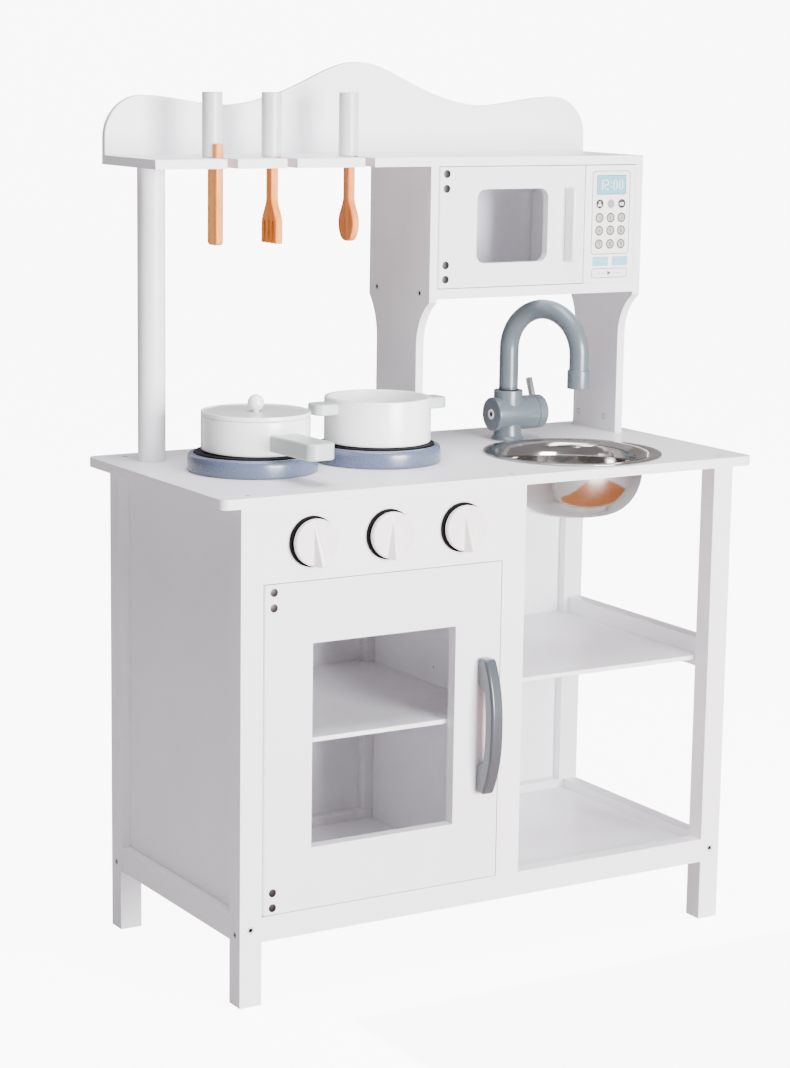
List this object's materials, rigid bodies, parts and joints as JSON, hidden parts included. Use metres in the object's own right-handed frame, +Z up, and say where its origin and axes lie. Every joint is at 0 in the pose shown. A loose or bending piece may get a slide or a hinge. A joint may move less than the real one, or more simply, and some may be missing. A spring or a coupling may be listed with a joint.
{
  "type": "toy kitchen",
  "caption": "Free-standing white toy kitchen with oven, microwave, hob, sink, faucet, open shelves and hanging utensils.",
  "frame": {"origin": "centre of the overall box on the floor", "axes": "+X to the right seen from the front, +Y to the back, +Z up"},
  "size_m": [0.6, 0.3104, 0.8648],
  "materials": {
    "white_paint": "painted satin",
    "pan_paint": "painted gloss",
    "handle_paint": "painted satin",
    "utensil_grey": "painted satin",
    "beech": "oiled",
    "burner_plastic": "moulded",
    "faucet_plastic": "satin",
    "handle_plastic": "gloss",
    "knob_plastic": "satin",
    "white_plastic": "satin",
    "steel": "polished",
    "chromed_rod": "polished",
    "hardware": "zinc plated",
    "bolt_caps": "satin"
  },
  "bodies": {
    "cabinet": {"bottom_board": "white_paint", "burner_left": "burner_plastic", "burner_right": "burner_plastic", "column": "white_paint", "control_board": "white_paint", "crown": "white_paint", "divider": "white_paint", "fascia": "white_paint", "faucet_body": "faucet_plastic", "frame_bolts": "bolt_caps", "hinge_pins": "hardware", "leg_back_left": "white_paint", "leg_back_right": "white_paint", "leg_front_left": "white_paint", "leg_front_right": "white_paint", "microwave_back": "white_paint", "microwave_floor": "white_paint", "microwave_wall": "white_paint", "oven_shelf": "white_paint", "panel_back": "white_paint", "panel_left": "white_paint", "post_back": "white_paint", "rail_back": "white_paint", "rail_front": "white_paint", "rail_left": "white_paint", "rail_right": "white_paint", "rail_right_middle": "white_paint", "side_shelf": "white_paint", "stile": "white_paint", "top_shelf": "white_paint", "upper_panel_left": "white_paint", "upper_panel_right": "white_paint", "worktop": "white_paint"},
    "oven_door": {"oven_door": "white_paint", "oven_handle": "handle_plastic", "oven_door_screws": "hardware"},
    "microwave_door": {"microwave_door": "white_paint", "microwave_handle": "white_plastic", "microwave_door_screws": "hardware"},
    "knob_left": {"knob_left": "knob_plastic"},
    "knob_middle": {"knob_middle": "knob_plastic"},
    "knob_right": {"knob_right": "knob_plastic"},
    "faucet_spout": {"faucet_spout": "faucet_plastic"},
    "faucet_tap": {"faucet_hub": "faucet_plastic", "faucet_lever": "chromed_rod"},
    "sink": {"sink": "steel"},
    "saucepan": {"pan_body": "pan_paint", "pan_handle": "handle_paint"},
    "pan_lid": {"pan_lid": "pan_paint", "lid_knob": "pan_paint"},
    "pot": {"pot_body": "pan_paint", "pot_lug_left": "handle_paint", "pot_lug_right": "handle_paint"},
    "turner": {"turner_handle": "utensil_grey", "turner_tool": "beech"},
    "fork": {"fork_handle": "utensil_grey", "fork_tool": "beech"},
    "spoon": {"spoon_handle": "utensil_grey", "spoon_tool": "beech"}
  },
  "joints": [
    {"name": "oven_door_hinge", "type": "hinge", "parent": "cabinet", "child": "oven_door", "pos_m": [-0.2508, -0.12325, 0.2424], "axis": [0, 0, -1], "range_deg": [0, 95]},
    {"name": "microwave_door_hinge", "type": "hinge", "parent": "cabinet", "child": "microwave_door", "pos_m": [0.0332, 0.042, 0.7038], "axis": [0, 0, -1], "range_deg": [0, 95]},
    {"name": "knob_left_turn", "type": "hinge", "parent": "cabinet", "child": "knob_left", "pos_m": [-0.2059, -0.12725, 0.4357], "axis": [0, -1, 0], "range_deg": [-150, 150]},
    {"name": "knob_middle_turn", "type": "hinge", "parent": "cabinet", "child": "knob_middle", "pos_m": [-0.1247, -0.12725, 0.4357], "axis": [0, -1, 0], "range_deg": [-150, 150]},
    {"name": "knob_right_turn", "type": "hinge", "parent": "cabinet", "child": "knob_right", "pos_m": [-0.0435, -0.12725, 0.4357], "axis": [0, -1, 0], "range_deg": [-150, 150]},
    {"name": "spout_swivel", "type": "hinge", "parent": "cabinet", "child": "faucet_spout", "pos_m": [0.1395, 0.0728, 0.5328], "axis": [0, 0, 1], "range_deg": [-110, 70]},
    {"name": "tap_turn", "type": "hinge", "parent": "cabinet", "child": "faucet_tap", "pos_m": [0.1698, 0.0728, 0.5081], "axis": [1, 0, 0], "range_deg": [-20, 45]},
    {"name": "sink_lift", "type": "slide", "parent": "cabinet", "child": "sink", "axis": [0, 0, 1], "range_m": [0, 0.045]},
    {"name": "saucepan_lift", "type": "slide", "parent": "cabinet", "child": "saucepan", "axis": [0, 0, 1], "range_m": [0, 0.08]},
    {"name": "lid_lift", "type": "slide", "parent": "saucepan", "child": "pan_lid", "axis": [0, 0, 1], "range_m": [0, 0.05]},
    {"name": "pot_lift", "type": "slide", "parent": "cabinet", "child": "pot", "axis": [0, 0, 1], "range_m": [0, 0.08]},
    {"name": "turner_slide", "type": "slide", "parent": "cabinet", "child": "turner", "axis": [0, -1, 0], "range_m": [0, 0.06]},
    {"name": "fork_slide", "type": "slide", "parent": "cabinet", "child": "fork", "axis": [0, -1, 0], "range_m": [0, 0.06]},
    {"name": "spoon_slide", "type": "slide", "parent": "cabinet", "child": "spoon", "axis": [0, -1, 0], "range_m": [0, 0.06]}
  ]
}
